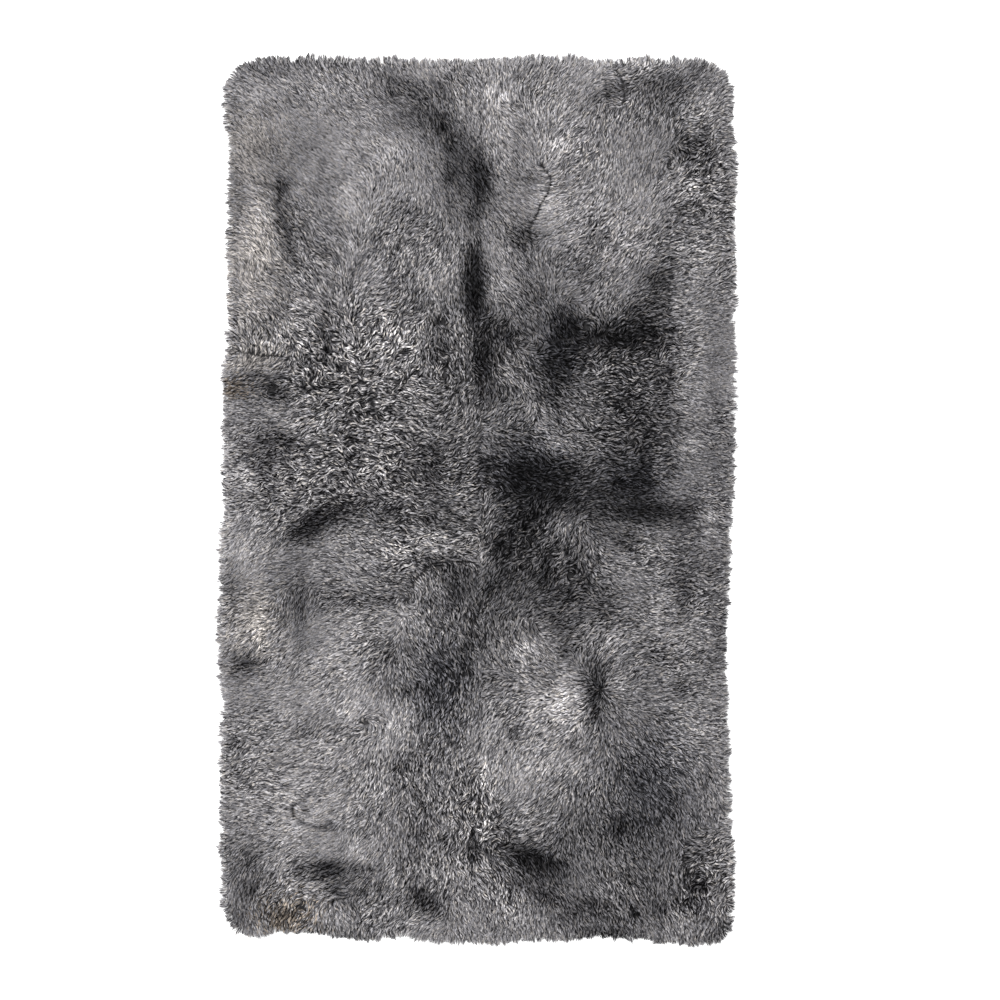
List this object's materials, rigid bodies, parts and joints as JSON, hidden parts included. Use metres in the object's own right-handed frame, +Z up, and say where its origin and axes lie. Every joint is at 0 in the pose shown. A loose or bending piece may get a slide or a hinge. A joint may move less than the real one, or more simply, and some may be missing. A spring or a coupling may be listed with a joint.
{
  "type": "fur rug",
  "caption": "Rectangular grey fur rug with round corners, sewn from sheepskin panels, lying flat with tufted edges.",
  "frame": {"origin": "centre of the rug's box on the floor, at the underside of the hide", "axes": "+Y along the rug's length, +X across its width, +Z up out of the wool"},
  "size_m": [1.0586, 1.8048, 0.0487],
  "materials": {
    "wool": "matte",
    "hide": "matte"
  },
  "bodies": {
    "root": {"skin_left_far": "wool", "skin_right_far": "wool", "skin_left_near": "wool", "skin_right_near": "wool", "gusset_left_far": "wool", "gusset_left_near": "wool", "gusset_right": "wool"}
  },
  "joints": []
}
